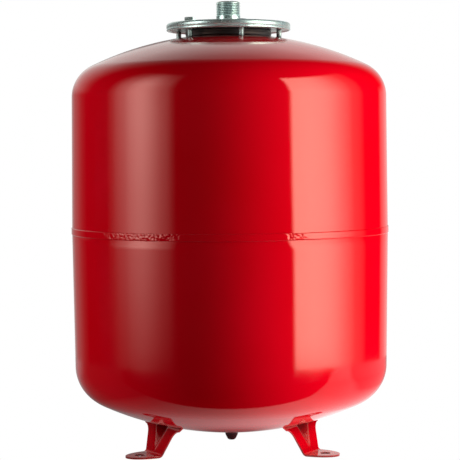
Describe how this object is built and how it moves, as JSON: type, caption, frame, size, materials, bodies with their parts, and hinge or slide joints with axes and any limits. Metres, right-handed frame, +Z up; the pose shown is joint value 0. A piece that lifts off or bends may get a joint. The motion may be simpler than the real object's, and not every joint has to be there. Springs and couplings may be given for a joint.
{
  "type": "expansion vessel",
  "caption": "Upright dished steel diaphragm expansion vessel with bolted cover flange, threaded water nipple, air valve below and pressed sheet legs.",
  "frame": {"origin": "on the floor, centre of the overall box, on the vessel's turned axis", "axes": "+Z up along the vessel's axis towards the water nipple, front towards -Y, +X to the right seen from the front"},
  "size_m": [0.348, 0.348, 0.4895],
  "materials": {
    "red_paint": "high-gloss baked powder coat",
    "zinc_plate": "bright zinc plating",
    "zinc_fasteners": "zinc plated fasteners",
    "bare_steel": "turned steel",
    "butyl_rubber": "matt moulded rubber",
    "seal_rubber": "matt rubber",
    "brass": "turned",
    "spring_steel": "drawn wire",
    "cap_plastic": "moulded, slightly glossy"
  },
  "bodies": {
    "vessel": {"upper_shell": "red_paint", "lower_shell": "red_paint", "seam_weld": "red_paint", "counter_ring": "zinc_plate", "cover_flange": "zinc_plate", "nipple": "zinc_plate", "nipple_weld": "zinc_plate", "bladder": "butyl_rubber", "flange_bolt_1": "zinc_fasteners", "flange_bolt_2": "zinc_fasteners", "flange_bolt_3": "zinc_fasteners", "flange_bolt_4": "zinc_fasteners", "flange_bolt_5": "zinc_fasteners", "flange_bolt_6": "zinc_fasteners", "flange_washer_1": "zinc_fasteners", "flange_washer_2": "zinc_fasteners", "flange_washer_3": "zinc_fasteners", "flange_washer_4": "zinc_fasteners", "flange_washer_5": "zinc_fasteners", "flange_washer_6": "zinc_fasteners", "leg_left": "red_paint", "leg_right": "red_paint", "leg_rear": "red_paint", "valve_boss": "bare_steel", "valve_stem": "brass", "valve_core": "brass", "valve_spring": "spring_steel"},
    "valve_pin": {"valve_pin": "brass", "pin_seal": "seal_rubber"},
    "cap_seal": {"cap_seal": "seal_rubber"},
    "valve_cap": {"valve_cap": "cap_plastic"}
  },
  "joints": [
    {"name": "valve_pin_press", "type": "slide", "parent": "vessel", "child": "valve_pin", "axis": [0, 0, 1], "range_m": [0, 0.0012], "stiffness_N_per_m": 400, "springref_m": -0.003, "deforming": ["valve_spring"]},
    {"name": "valve_cap_travel", "type": "slide", "parent": "vessel", "child": "cap_seal", "axis": [0, 0, -1], "range_m": [0, 0.00397]},
    {"name": "valve_cap_turn", "type": "hinge", "parent": "cap_seal", "child": "valve_cap", "pos_m": [0, 0, 0.0123], "axis": [0, 0, -1], "range_deg": [0, 1800]}
  ],
  "couplings": [
    {"joint": "valve_cap_turn", "follows": "valve_cap_travel", "rad_per_m": 7915.8}
  ]
}
